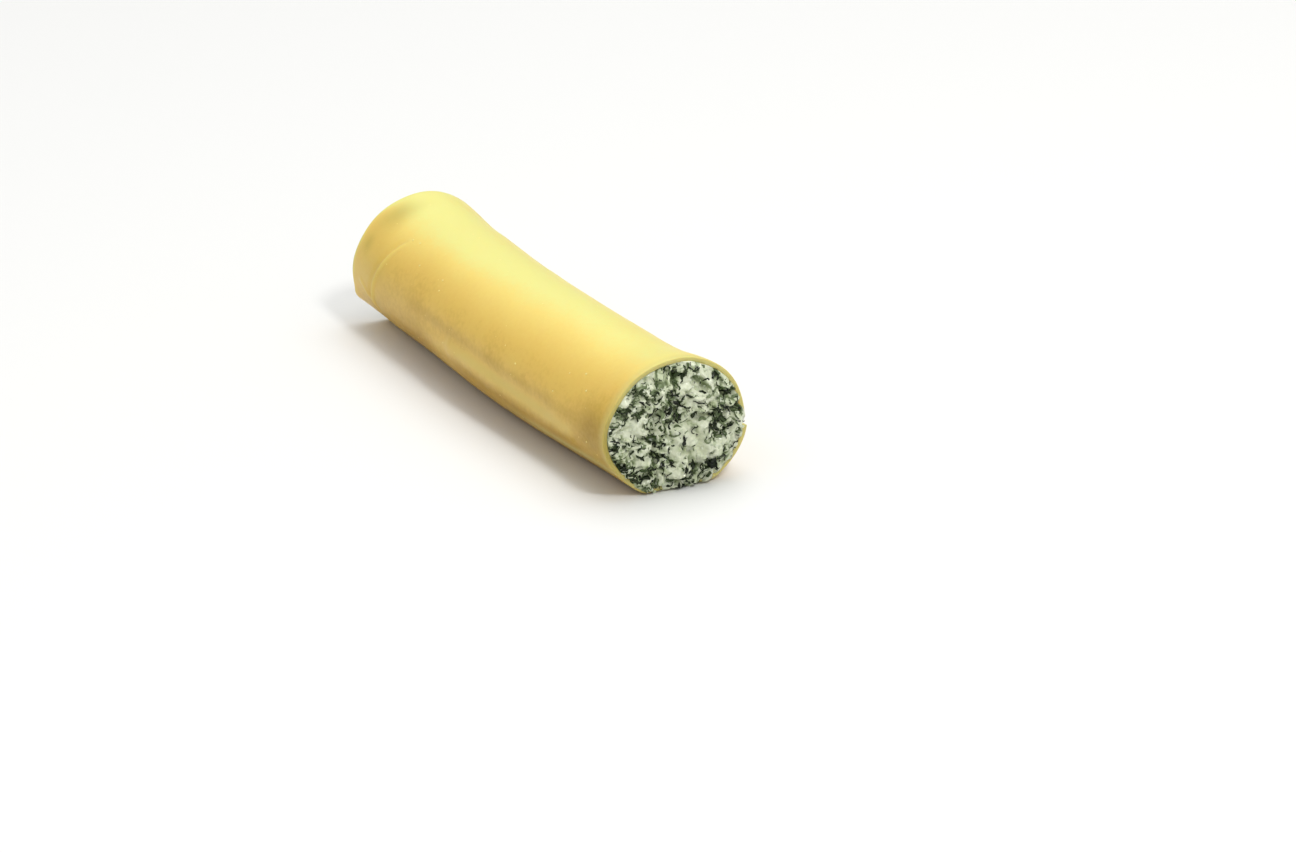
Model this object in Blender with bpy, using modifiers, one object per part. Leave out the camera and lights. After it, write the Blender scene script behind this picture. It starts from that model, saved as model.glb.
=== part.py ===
"""One filled cannellone: a sheet of fresh egg pasta rolled round a spinach and ricotta filling.

The roll lies on its side with its long axis along X. The cut end that shows its filling is at +X, the
sheet's free edge is on the +Y side, and the underside rests flat on Z = 0. Angles round the roll start at
+Y and climb over the top. The origin is the middle of the base of the bounding box.
"""

import math

import bmesh
import bpy

MM = 0.001

# The roll as a whole, in millimetres
LENGTH = 102.3
WIDTH = 28.5
HEIGHT = 25.3  # before the roll settles
REST_DEPTH = 1.2  # how far the soft roll settles onto its flat underside
REST_TURN = 0.5  # and how softly the side turns into it
BOW = 1.94  # the middle of the roll lies this far to -Y of its ends
BOW_SKEW = 0.45  # and the bow is a little stronger behind the middle

# The sheet of pasta, in millimetres and degrees
SHEET = 1.0
LAP_GAP = 0.3  # between the two layers where the sheet laps over itself
FREE_EDGE_DEG = 350.0  # the outer edge of the sheet, just below the middle of the +Y side
TUCKED_EDGE_DEG = -56.0  # the inner edge, under the lap
LAP_RISE = 0.55  # how far the outer layer stands out over the lap
LAP_RAMP_DEG = 12.0

# The two ends: each flares a little, as (share of the size, reach along the roll in millimetres)
BACK_FLARE = (0.032, 10.3)
CUT_FLARE = (0.054, 7.8)
NECK = (0.011, -0.34, 0.14)  # the slight waist: share of the size, then place and spread along the roll
TAPER = 0.003
CUT_SLANT = (0.069, -0.034)  # lean of the cut plane, per millimetre across and up
BACK_SLANT = (-0.041, 0.003)
SLANT_REACH = 20.0
CUT_LIFT = (0.25, 16.0)  # the underside of the cut end rises this far off the surface, over this reach
CUT_HEEL = (0.8, 262.0, 34.0)  # and is cut back this far, at this angle, over this spread of angles
EDGE_WAVE = 0.22  # unevenness of both hand-cut ends

# Where the soft roll is drawn in, or swells where the depth is below 0:
# distance from the back end, reach along the roll, angle, spread of angles, and depth
DRAWN_IN = (
    (0.0, 5.0, 84.0, 34.0, -0.5),
    (9.0, 7.0, 66.0, 30.0, -0.35),
    (21.0, 9.0, 62.0, 34.0, -0.5),
    (1.0, 6.0, 172.0, 26.0, 0.3),
    (0.0, 1.8, 206.0, 7.0, -0.35),
    (3.5, 5.0, 224.0, 9.0, 0.3),
    (25.0, 21.0, 221.0, 19.0, 0.65),
    (84.0, 22.0, 224.0, 18.0, 0.2),
    (LENGTH, 16.0, 221.0, 20.0, 0.45),
    (LENGTH, 12.0, 8.0, 26.0, 0.5),
    (LENGTH, 14.0, 326.0, 22.0, -0.55),
    (LENGTH, 150.0, 318.0, 24.0, 0.6),
)

# The pulled corner of the lip at the back end: angle, spread, reach along the roll, and how far back
LIP_CORNER = (209.0, 13.0, 5.0, 0.9)

# The filling, in millimetres
FILLING_GAP = 0.45  # between the faceted faces of filling and sheet
CUT_BULGE = 1.3  # the filling swells out of the cut end
BACK_RECESS = 2.6  # and lies this far inside the lip of the back end
LUMP_HEIGHT = 0.35
LUMP_PITCH = 11.0

# How finely the solids are faceted
SHEET_STEPS_ALONG = 26
SHEET_STEPS_AROUND = 56
FILLING_SIDES = 30
FILLING_FACE_RINGS = 5
FILLING_STEPS_ALONG = 24


def bell(distance, spread):
    """A smooth hump, 1 at distance 0."""
    return math.exp(-((distance / spread) ** 2))


def ramp(start, stop, value):
    """A smooth step from 0 at start to 1 at stop."""
    share = min(max((value - start) / (stop - start), 0.0), 1.0)
    return share * share * (3.0 - 2.0 * share)


def turned_between(angle, other):
    """The smaller angle between two directions, in degrees."""
    return abs((angle - other + 180.0) % 360.0 - 180.0)


def section_scale(along):
    """Size of the section at `along`, which runs from -0.5 at the back end to 0.5 at the cut end."""
    from_back, from_cut = (0.5 + along) * LENGTH, (0.5 - along) * LENGTH
    neck_share, neck_place, neck_spread = NECK
    return (
        1.0
        + BACK_FLARE[0] * bell(from_back, BACK_FLARE[1])
        + CUT_FLARE[0] * bell(from_cut, CUT_FLARE[1])
        + TAPER * along
        - neck_share * bell(along - neck_place, neck_spread)
    )


def settled(height, lowest):
    """The height of a point once the soft roll has settled onto the table."""
    share = min(max((height - lowest + REST_TURN) / (2.0 * REST_TURN), 0.0), 1.0)
    return max(height, lowest + REST_TURN * share * share)


def roll_point(along, degrees, inset, share=1.0):
    """The point `inset` inside the roll's plain face, or a share of the way out to it, in millimetres."""
    scale = section_scale(along)
    angle = math.radians(degrees)
    from_back, from_cut = (0.5 + along) * LENGTH, (0.5 - along) * LENGTH
    inwards = inset
    for place, reach, towards, spread, depth in DRAWN_IN:
        inwards += depth * bell(from_back - place, reach) * bell(turned_between(degrees, towards), spread)
    across = (WIDTH / 2 * scale - inwards) * math.cos(angle) * share
    middle = HEIGHT / 2 * scale
    up = middle - REST_DEPTH + (middle - inwards) * math.sin(angle) * share
    underside = CUT_LIFT[0] * ramp(CUT_LIFT[1], 0.0, from_cut)
    up = settled(up, underside + max(inset, 0.0))

    near_cut, near_back = bell(from_cut, SLANT_REACH), bell(from_back, SLANT_REACH)
    above = up - HEIGHT / 2
    slant = near_cut * (CUT_SLANT[0] * across + CUT_SLANT[1] * above)
    slant += near_back * (BACK_SLANT[0] * across + BACK_SLANT[1] * above)
    corner, corner_spread, corner_reach, corner_back = LIP_CORNER
    pulled = bell(turned_between(degrees, corner), corner_spread) * bell(from_back, corner_reach)
    slant -= corner_back * pulled
    slant -= near_cut * CUT_HEEL[0] * bell(turned_between(degrees, CUT_HEEL[1]), CUT_HEEL[2]) * share

    arch = 1.0 - 4.0 * along * along
    centre = (BOW_SKEW * along - BOW) * arch
    heading = math.atan((8.0 * BOW * along + BOW_SKEW * (1.0 - 12.0 * along * along)) / LENGTH)
    x = along * LENGTH + slant - math.sin(heading) * across
    y = centre + math.cos(heading) * across
    return x, y, up


def layer_inset(degrees):
    """How far the sheet's outer face lies inside the plain face of the roll: below 0 over the lap."""
    tuck = SHEET + LAP_GAP - LAP_RISE
    lap_end = FREE_EDGE_DEG - 360.0
    lap_start = TUCKED_EDGE_DEG + 360.0
    outer = -LAP_RISE * ramp(lap_start - LAP_RAMP_DEG, lap_start, degrees)
    inner = tuck * (1.0 - ramp(lap_end, lap_end + LAP_RAMP_DEG, degrees))
    return outer + inner


def filling_inset(degrees):
    """How far the filling's side lies inside the plain face of the roll."""
    tucked = degrees if degrees < 180.0 else degrees - 360.0
    under_lap = ramp(TUCKED_EDGE_DEG - LAP_RAMP_DEG, TUCKED_EDGE_DEG - LAP_RAMP_DEG / 4, tucked)
    return SHEET + FILLING_GAP + layer_inset(max(tucked, TUCKED_EDGE_DEG)) * under_lap


def edge_wave(degrees):
    """Unevenness of a hand-cut end, along X."""
    angle = math.radians(degrees)
    return EDGE_WAVE * (math.sin(3.0 * angle + 0.6) + 0.6 * math.sin(7.0 * angle + 2.1))


def lumps(y, z):
    """Unevenness of the filling's cut faces, along X."""
    pitch = 2.0 * math.pi / LUMP_PITCH
    crossed = math.sin(pitch * y + 0.7) * math.sin(pitch * z)
    return LUMP_HEIGHT * (crossed + 0.5 * math.sin(1.7 * pitch * (y - z)))


def part_material(name, colour, roughness):
    """A plain Principled material."""
    material = bpy.data.materials.new(name)
    material.use_nodes = True
    shader = material.node_tree.nodes["Principled BSDF"]
    shader.inputs["Base Color"].default_value = (*colour, 1.0)
    shader.inputs["Roughness"].default_value = roughness
    shader.inputs["Metallic"].default_value = 0.0
    return material


def add_object(name, cage, material, collection):
    """Turn a bmesh into a smooth-shaded object of the collection."""
    mesh = bpy.data.meshes.new(name)
    cage.to_mesh(mesh)
    cage.free()
    mesh.materials.append(material)
    mesh.shade_smooth()
    piece = bpy.data.objects.new(name, mesh)
    collection.objects.link(piece)
    return piece


def build_pasta_sheet(collection):
    """The sheet is a flat grid rolled up by its outer face, then thickened inwards."""
    cage = bmesh.new()
    bmesh.ops.create_grid(cage, x_segments=SHEET_STEPS_ALONG, y_segments=SHEET_STEPS_AROUND, size=0.5)
    for corner in cage.verts:
        even, across = 2.0 * corner.co.x, corner.co.y + 0.5
        along = 0.5 * (0.6 * even + 0.4 * math.sin(math.pi / 2 * even))  # closer rows at the flared ends
        degrees = FREE_EDGE_DEG + (TUCKED_EDGE_DEG - FREE_EDGE_DEG) * across
        x, y, z = roll_point(along, degrees, layer_inset(degrees))
        x += edge_wave(degrees) * abs(even) ** 8
        corner.co = (x * MM, y * MM, z * MM)
    pasta = part_material("fresh_egg_pasta", (0.83, 0.62, 0.22), 0.5)
    sheet = add_object("pasta_sheet", cage, pasta, collection)
    thickness = sheet.modifiers.new("sheet_thickness", "SOLIDIFY")
    thickness.thickness = SHEET * MM
    thickness.offset = -1.0
    thickness.use_even_offset = True
    return sheet


def build_filling(collection):
    """The filling is a ball whose caps are pressed flat into the end faces and whose middle is drawn out."""
    rings = 2 * FILLING_FACE_RINGS + FILLING_STEPS_ALONG
    cage = bmesh.new()
    bmesh.ops.create_uvsphere(cage, u_segments=FILLING_SIDES, v_segments=rings, radius=1.0)
    back, front = -0.5 + BACK_RECESS / LENGTH, 0.5
    for corner in cage.verts:
        ring = rings * math.acos(max(-1.0, min(1.0, -corner.co.z))) / math.pi
        degrees = math.degrees(math.atan2(corner.co.y, corner.co.x)) % 360.0
        share = min(1.0, ring / FILLING_FACE_RINGS, (rings - ring) / FILLING_FACE_RINGS)
        drawn = min(max((ring - FILLING_FACE_RINGS) / FILLING_STEPS_ALONG, 0.0), 1.0)
        x, y, z = roll_point(back + (front - back) * drawn, degrees, filling_inset(degrees), share)
        if ring <= FILLING_FACE_RINGS:
            x -= lumps(y, z) * (1.0 - share**4)
        if ring >= rings - FILLING_FACE_RINGS:
            x += CUT_BULGE * (1.0 - 0.5 * share**4) + lumps(y, z) * (1.0 - share**4)
        corner.co = (x * MM, y * MM, z * MM)
    spinach_and_ricotta = part_material("spinach_and_ricotta", (0.42, 0.47, 0.33), 0.6)
    return add_object("filling", cage, spinach_and_ricotta, collection)


def centre_on_base(pieces):
    """Move the pieces together so that the middle of the base of their bounding box is the origin."""
    bpy.context.view_layer.update()
    graph = bpy.context.evaluated_depsgraph_get()
    shown = [piece.evaluated_get(graph).data for piece in pieces]
    corners = [corner.co.copy() for mesh in shown for corner in mesh.vertices]
    low = [min(corner[axis] for corner in corners) for axis in range(3)]
    high = [max(corner[axis] for corner in corners) for axis in range(3)]
    shift = (-(low[0] + high[0]) / 2, -(low[1] + high[1]) / 2, -low[2])
    for piece in pieces:
        for corner in piece.data.vertices:
            corner.co = [value + move for value, move in zip(corner.co, shift)]


def main():
    """Clear the scene and build the roll."""
    for old in list(bpy.data.objects):
        bpy.data.objects.remove(old)
    roll = bpy.data.collections.new("cannellone")
    bpy.context.scene.collection.children.link(roll)
    centre_on_base([build_pasta_sheet(roll), build_filling(roll)])


main()
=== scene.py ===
"""Looks of one filled cannellone: a rolled sheet of fresh egg pasta round spinach and ricotta.

The roll lies along X with its cut end at +X and its underside on Z = 0. Lengths in the classes are in
millimetres and angles in degrees, starting at +Y and climbing over the top. Meshes are made in metres.
"""

import itertools
import logging
import math
from dataclasses import dataclass, replace
from enum import Enum
from functools import cached_property

import bmesh
import bpy
import numpy as np
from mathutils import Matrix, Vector
from mathutils.bvhtree import BVHTree
from numpy.random import Generator


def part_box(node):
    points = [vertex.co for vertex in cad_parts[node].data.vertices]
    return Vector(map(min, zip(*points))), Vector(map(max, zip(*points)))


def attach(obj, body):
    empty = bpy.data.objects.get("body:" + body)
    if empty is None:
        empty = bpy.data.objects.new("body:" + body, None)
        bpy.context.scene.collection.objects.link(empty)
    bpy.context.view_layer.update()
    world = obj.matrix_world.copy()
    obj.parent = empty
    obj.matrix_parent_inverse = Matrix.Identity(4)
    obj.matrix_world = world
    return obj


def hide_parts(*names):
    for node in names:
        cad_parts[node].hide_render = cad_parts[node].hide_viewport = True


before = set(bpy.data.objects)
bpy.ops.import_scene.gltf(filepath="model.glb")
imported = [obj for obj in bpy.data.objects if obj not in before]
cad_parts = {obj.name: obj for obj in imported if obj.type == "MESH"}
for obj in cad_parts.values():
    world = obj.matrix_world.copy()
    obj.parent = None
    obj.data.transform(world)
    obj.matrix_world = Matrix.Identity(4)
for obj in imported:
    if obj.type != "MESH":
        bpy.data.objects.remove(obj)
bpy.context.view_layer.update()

Array = np.ndarray
MM = 0.001
log = logging.getLogger("cannellone")


class Node(Enum):
    """The solids of the frame that the pieces stand for."""

    SHEET = "pasta_sheet"
    FILLING = "filling"


class Slot(Enum):
    """The material slots."""

    PASTA = "fresh_egg_pasta"
    FILLING = "spinach_and_ricotta"


class End(Enum):
    """The two ends of the roll, as the side of X that each looks towards."""

    BACK = -1.0
    CUT = 1.0


# --- Shape helpers ---


def bell(distance: Array, spread: float) -> Array:
    """A smooth hump, 1 at distance 0 and 0.37 at `spread`."""
    return np.exp(-((distance / spread) ** 2))


def ramp(start: float, stop: float, value: Array) -> Array:
    """A smooth step from 0 at start to 1 at stop."""
    share = np.clip((value - start) / (stop - start), 0.0, 1.0)
    return share * share * (3.0 - 2.0 * share)


def lobe(degrees: Array, towards: float, spread: float) -> Array:
    """A smooth hump round the roll, 1 at the angle `towards` and 0.37 at `spread` from it."""
    return bell((degrees - towards + 180.0) % 360.0 - 180.0, spread)


def smooth_curve(points: tuple[tuple[float, float], ...], count: int) -> Array:
    """A smooth curve through points.

    Args:
        points: the points that the curve passes through.
        count: how many points to return.

    Returns:
        An array of `count` rows.
    """
    knots = np.array(points, float)
    knots = np.vstack([2 * knots[0] - knots[1], knots, 2 * knots[-1] - knots[-2]])
    place = np.linspace(0.0, len(points) - 1.0, count)
    first = np.minimum(place.astype(int), len(points) - 2)
    share = (place - first)[:, None]
    a, b, c, d = (knots[first + step] for step in range(4))
    bend = (2 * a - 5 * b + 4 * c - d) * share**2 + (3 * b - a - 3 * c + d) * share**3
    return 0.5 * (2 * b + (c - a) * share + bend)


def spaced(*stretches: tuple[float, float, float]) -> Array:
    """Places along a line, close together where the form needs it.

    Args:
        stretches: (start, stop, step) of each stretch, one after the other.

    Returns:
        The places, each once, in order.
    """
    runs = [np.linspace(a, b, max(2, round((b - a) / step) + 1)) for a, b, step in stretches]
    return np.unique(np.round(np.concatenate(runs), 6))


def grid_faces(rows: int, columns: int) -> Array:
    """Quads over a grid of rows by columns vertices, numbered row by row."""
    corner = np.arange((rows - 1) * columns).reshape(rows - 1, columns)[:, :-1].ravel()
    return np.stack([corner, corner + 1, corner + columns + 1, corner + columns], axis=1)


def band(near: Array, far: Array) -> Array:
    """Quads between two closed rings of vertices."""
    return np.stack([near, np.roll(near, -1), np.roll(far, -1), far], axis=1)


def unit(vectors: Array) -> Array:
    """The same directions, each one long."""
    return vectors / np.linalg.norm(vectors, axis=-1, keepdims=True)


def wavering(rng: Generator, count: int, step: Array, pace: tuple[float, float]) -> Array:
    """Sines along a line, each of its own pace and start.

    Args:
        rng: the source of chance.
        count: how many.
        step: places along the line.
        pace: fewest and most waves in one unit of it.

    Returns:
        One row for each sine.
    """
    return np.sin(2 * math.pi * (step * rng.uniform(*pace, (count, 1)) + rng.random((count, 1))))


@dataclass(frozen=True)
class Noise:
    """Smooth unevenness in space, drawn from its seed and so the same on every run."""

    seed: int
    size: float  # mm from one hump to the next
    strength: float = 1.0
    cells: int = 32

    def at(self, points: Array) -> Array:
        """Read the noise.

        Args:
            points: places in millimetres, with X, Y and Z in the last axis.

        Returns:
            Values from -strength to strength.
        """
        lattice = np.random.default_rng(self.seed).uniform(-1.0, 1.0, (self.cells,) * 3)
        place = points / self.size
        low = np.floor(place).astype(int)
        share = place - low
        share = share * share * (3.0 - 2.0 * share)
        total = np.zeros(points.shape[:-1])
        for corner in itertools.product((0, 1), repeat=3):
            weight = np.prod(np.where(corner, share, 1.0 - share), axis=-1)
            cell = (low + corner) % self.cells
            total += weight * lattice[cell[..., 0], cell[..., 1], cell[..., 2]]
        return self.strength * total


@dataclass(frozen=True)
class RollForm:
    """The roll's plain form, repeated from the sizes of the solids that it has to fit."""

    length: float = 102.3
    width: float = 28.5
    height: float = 25.3
    rest_depth: float = 1.2
    rest_turn: float = 0.5
    bow: float = 1.94
    bow_skew: float = 0.45
    sheet: float = 1.0
    free_edge: float = 350.0
    tucked_edge: float = -56.0
    lap_rise: float = 0.55
    lap_gap: float = 0.05
    lap_ramp: float = 12.0
    back_flare: tuple[float, float] = (0.032, 10.3)
    cut_flare: tuple[float, float] = (0.054, 7.8)
    neck: tuple[float, float, float] = (0.011, -0.34, 0.14)
    taper: float = 0.003
    cut_slant: tuple[float, float] = (0.069, -0.034)
    back_slant: tuple[float, float] = (-0.041, 0.003)
    slant_reach: float = 20.0
    cut_lift: tuple[float, float] = (0.25, 16.0)
    cut_heel: tuple[float, float, float] = (0.8, 262.0, 34.0)
    edge_unevenness: float = 0.22
    edge_reach: int = 8  # the higher, the less of the roll behind a hand-cut end follows its unevenness
    # Millimetres from the back end, reach, angle, spread of angles, and depth, below 0 to swell
    drawn_in: tuple[tuple[float, ...], ...] = (
        (0.0, 5.0, 84.0, 34.0, -0.5),
        (9.0, 7.0, 66.0, 30.0, -0.35),
        (21.0, 9.0, 62.0, 34.0, -0.5),
        (1.0, 6.0, 172.0, 26.0, 0.3),
        (0.0, 1.8, 206.0, 7.0, -0.35),
        (3.5, 5.0, 224.0, 9.0, 0.3),
        (25.0, 21.0, 221.0, 19.0, 0.65),
        (84.0, 22.0, 224.0, 18.0, 0.2),
        (102.3, 16.0, 221.0, 20.0, 0.45),
        (102.3, 12.0, 8.0, 26.0, 0.5),
        (102.3, 14.0, 326.0, 22.0, -0.55),
        (102.3, 150.0, 318.0, 24.0, 0.6),
    )
    lip_corner: tuple[float, float, float, float] = (209.0, 13.0, 5.0, 0.9)
    shift: tuple[float, float] = (0.0, 0.0)

    def scale(self, along: Array) -> Array:
        """Size of the section.

        Args:
            along: -0.5 at the back end to 0.5 at the cut end.

        Returns:
            The size there, as a share of the plain one.
        """
        from_back, from_cut = (0.5 + along) * self.length, (0.5 - along) * self.length
        neck_share, neck_place, neck_spread = self.neck
        flares = self.back_flare[0] * bell(from_back, self.back_flare[1])
        flares = flares + self.cut_flare[0] * bell(from_cut, self.cut_flare[1])
        return 1.0 + flares + self.taper * along - neck_share * bell(along - neck_place, neck_spread)

    def settled(self, height: Array, lowest: Array) -> Array:
        """Heights once the soft roll has settled onto the table."""
        share = np.clip((height - lowest + self.rest_turn) / (2.0 * self.rest_turn), 0.0, 1.0)
        return np.maximum(height, lowest + self.rest_turn * share * share)

    def place(self, along: Array, degrees: Array, inset: Array, share: Array = 1.0) -> Array:
        """Points of the roll.

        Args:
            along: -0.5 at the back end to 0.5 at the cut end.
            degrees: angle round the roll.
            inset: depth inside the plain face, in millimetres.
            share: how far from the middle of the section out to there.

        Returns:
            The points in millimetres, with X, Y and Z in the last axis.
        """
        along, degrees, inset, share = np.broadcast_arrays(along, degrees, inset, share)
        scale = self.scale(along)
        angle = np.radians(degrees)
        from_back, from_cut = (0.5 + along) * self.length, (0.5 - along) * self.length
        inwards = inset
        for place, reach, towards, spread, depth in self.drawn_in:
            near = bell(from_back - place, reach) * lobe(degrees, towards, spread)
            inwards = inwards + depth * near
        across = (self.width / 2 * scale - inwards) * np.cos(angle) * share
        middle = self.height / 2 * scale
        up = middle - self.rest_depth + (middle - inwards) * np.sin(angle) * share
        underside = self.cut_lift[0] * ramp(self.cut_lift[1], 0.0, from_cut)
        up = self.settled(up, underside + np.maximum(inset, 0.0))

        near_cut, near_back = bell(from_cut, self.slant_reach), bell(from_back, self.slant_reach)
        above = up - self.height / 2
        slant = near_cut * (self.cut_slant[0] * across + self.cut_slant[1] * above)
        slant = slant + near_back * (self.back_slant[0] * across + self.back_slant[1] * above)
        corner, corner_spread, corner_reach, corner_back = self.lip_corner
        pulled = lobe(degrees, corner, corner_spread) * bell(from_back, corner_reach)
        slant = slant - corner_back * pulled
        heel = lobe(degrees, self.cut_heel[1], self.cut_heel[2])
        slant = slant - near_cut * self.cut_heel[0] * heel * share

        arch = 1.0 - 4.0 * along**2
        centre = (self.bow_skew * along - self.bow) * arch
        turn = 8.0 * self.bow * along + self.bow_skew * (1.0 - 12.0 * along**2)
        heading = np.arctan(turn / self.length)
        x = along * self.length + slant - np.sin(heading) * across + self.shift[0]
        y = centre + np.cos(heading) * across + self.shift[1]
        return np.stack([x, y, up], axis=-1)

    def layer_inset(self, degrees: Array) -> Array:
        """How far the sheet's outer face lies inside the plain face of the roll.

        Args:
            degrees: angle round the roll, from the tucked edge to the free edge.

        Returns:
            Depths in millimetres, below 0 over the lap.
        """
        tuck = self.sheet + self.lap_gap - self.lap_rise
        lap_end, lap_start = self.free_edge - 360.0, self.tucked_edge + 360.0
        outer = -self.lap_rise * ramp(lap_start - self.lap_ramp, lap_start, degrees)
        inner = tuck * (1.0 - ramp(lap_end, lap_end + self.lap_ramp, degrees))
        return outer + inner

    def inside_inset(self, degrees: Array) -> Array:
        """How far the innermost face of the pasta lies inside the plain face of the roll.

        Args:
            degrees: angle round the roll.

        Returns:
            Depths in millimetres.
        """
        tucked = np.where(degrees % 360.0 < 180.0, degrees % 360.0, degrees % 360.0 - 360.0)
        under_lap = ramp(self.tucked_edge - self.lap_ramp, self.tucked_edge - self.lap_ramp / 4, tucked)
        return self.sheet + self.layer_inset(np.maximum(tucked, self.tucked_edge)) * under_lap

    def edge_wave(self, degrees: Array) -> Array:
        """Unevenness of a hand-cut end, along X."""
        angle = np.radians(degrees)
        return self.edge_unevenness * (np.sin(3.0 * angle + 0.6) + 0.6 * np.sin(7.0 * angle + 2.1))

    def fitted(self, low: Vector, high: Vector) -> "RollForm":
        """The same form, moved so that its sheet stands where the solid sheet does.

        Args:
            low: lowest corner of the solid sheet, in metres.
            high: its highest corner.

        Returns:
            The moved form.
        """
        round_it = np.linspace(self.tucked_edge, self.free_edge, 204)
        along, degrees = np.meshgrid(np.linspace(-0.5, 0.5, 61), round_it, indexing="ij")
        plain = self.place(along, degrees, self.layer_inset(degrees))
        plain[..., 0] += self.edge_wave(degrees) * np.abs(2.0 * along) ** self.edge_reach
        middle = (np.array(low) + np.array(high)) / 2 / MM
        own = (plain.min(axis=(0, 1)) + plain.max(axis=(0, 1))) / 2
        return replace(self, shift=(middle[0] - own[0], middle[1] - own[1]))


@dataclass(frozen=True)
class Crease:
    """A soft ridge in the sheet, or a groove where its height is below 0."""

    path: tuple[tuple[float, float], ...]  # millimetres along from mid-length, and degrees round
    width: float
    height: float
    flank: float = 0.0  # distance to the shallow opposite band on its left, or 0 for none
    fade: float = 0.25  # share of the path over which each tip dies away
    flank_depth: float = 0.6  # of the opposite band, as a share of the height
    flank_width: float = 1.6
    steps: int = 90

    def relief(self, along: Array, degrees: Array, arc: float) -> Array:
        """Height of the crease over the sheet.

        Args:
            along: millimetres along the roll from mid-length.
            degrees: angle round the roll.
            arc: millimetres round the roll in one degree.

        Returns:
            Heights in millimetres.
        """
        line = smooth_curve(self.path, self.steps) * (1.0, arc)
        course = unit(np.gradient(line, axis=0))
        away = np.stack([along.ravel(), arc * degrees.ravel()], axis=1)[:, None, :] - line
        nearest = np.argmin((away**2).sum(axis=2), axis=1)
        away = away[np.arange(len(nearest)), nearest]
        heading = course[nearest]
        distance = np.linalg.norm(away, axis=1)
        side = np.sign(heading[:, 0] * away[:, 1] - heading[:, 1] * away[:, 0])
        share = nearest / (self.steps - 1.0)
        strength = ramp(0.0, self.fade, share) * ramp(1.0, 1.0 - self.fade, share)
        form = bell(distance, self.width)
        if self.flank:
            form -= self.flank_depth * bell(side * distance - self.flank, self.flank_width * self.width)
        return (self.height * form * strength).reshape(along.shape)


# --- Mesh helpers ---


def mesh_piece(
    name: str, points: Array, faces: list | Array, material: bpy.types.Material
) -> bpy.types.Object:
    """A smooth-shaded mesh object.

    Args:
        name: the piece's name.
        points: its vertices in millimetres.
        faces: lists of vertex numbers, or arrays of them.
        material: its finish.

    Returns:
        The object, linked to the scene.
    """
    mesh = bpy.data.meshes.new(name)
    mesh.from_pydata((points.reshape(-1, 3) * MM).tolist(), [], [list(map(int, face)) for face in faces])
    mesh.update()
    mesh.shade_smooth()
    mesh.materials.append(material)
    piece = bpy.data.objects.new(name, mesh)
    bpy.context.scene.collection.objects.link(piece)
    return piece


def mark(piece: bpy.types.Object, name: str, values: Array) -> None:
    """Store one number for each vertex, under a name that the material reads."""
    stored = piece.data.attributes.new(name, "FLOAT", "POINT").data
    stored.foreach_set("value", values.ravel().astype(np.float32))


def join_frame(piece: bpy.types.Object, node: Node | None = None) -> None:
    """Tell the frame what a piece is.

    Args:
        piece: the piece.
        node: the solid that it stands for, if it stands for one.
    """
    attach(piece, "root")
    if node:
        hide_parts(node.value)
    log.info("%s: %d faces", piece.name, len(piece.data.polygons))


# --- Finishes ---


def linear(colour: str) -> tuple[float, float, float, float]:
    """Turn a colour linear.

    Args:
        colour: an sRGB hex colour such as "#F2E1A4".

    Returns:
        Linear red, green, blue and alpha.
    """
    values = [int(colour[place : place + 2], 16) / 255 for place in (1, 3, 5)]
    red, green, blue = (v / 12.92 if v <= 0.04045 else ((v + 0.055) / 1.055) ** 2.4 for v in values)
    return red, green, blue, 1.0


def set_inputs(tree: bpy.types.NodeTree, node: bpy.types.Node, inputs: dict) -> None:
    """Link or set the inputs of a node.

    Args:
        tree: the node tree.
        node: the node.
        inputs: for each input, by name or number, the socket to link or the value to set.
    """
    for name, value in inputs.items():
        if isinstance(value, bpy.types.NodeSocket):
            tree.links.new(value, node.inputs[name])
        else:
            node.inputs[name].default_value = value


def add_node(
    tree: bpy.types.NodeTree, kind: str, inputs: dict | None = None, stops: tuple = (), **settings: object
) -> bpy.types.Node:
    """Add one node.

    Args:
        tree: the node tree.
        kind: the node's type name.
        inputs: for each input, by name or number, the socket to link or the value to set.
        stops: for a colour ramp, its (place, colour) stops.
        settings: the node's own properties.

    Returns:
        The node.
    """
    node = tree.nodes.new(kind)
    for name, value in settings.items():
        setattr(node, name, value)
    set_inputs(tree, node, inputs or {})
    for number, (place, colour) in enumerate(stops):
        if number >= len(node.color_ramp.elements):
            node.color_ramp.elements.new(place)
        node.color_ramp.elements[number].position = place
        node.color_ramp.elements[number].color = linear(colour)
    return node


def new_material(name: str) -> tuple[bpy.types.Material, bpy.types.NodeTree, bpy.types.Node]:
    """Make a material.

    Args:
        name: what it is, in a maker's words.

    Returns:
        The material, its node tree and its Principled shader.
    """
    material = bpy.data.materials.new(name)
    material.use_nodes = True
    return material, material.node_tree, material.node_tree.nodes["Principled BSDF"]


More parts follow.
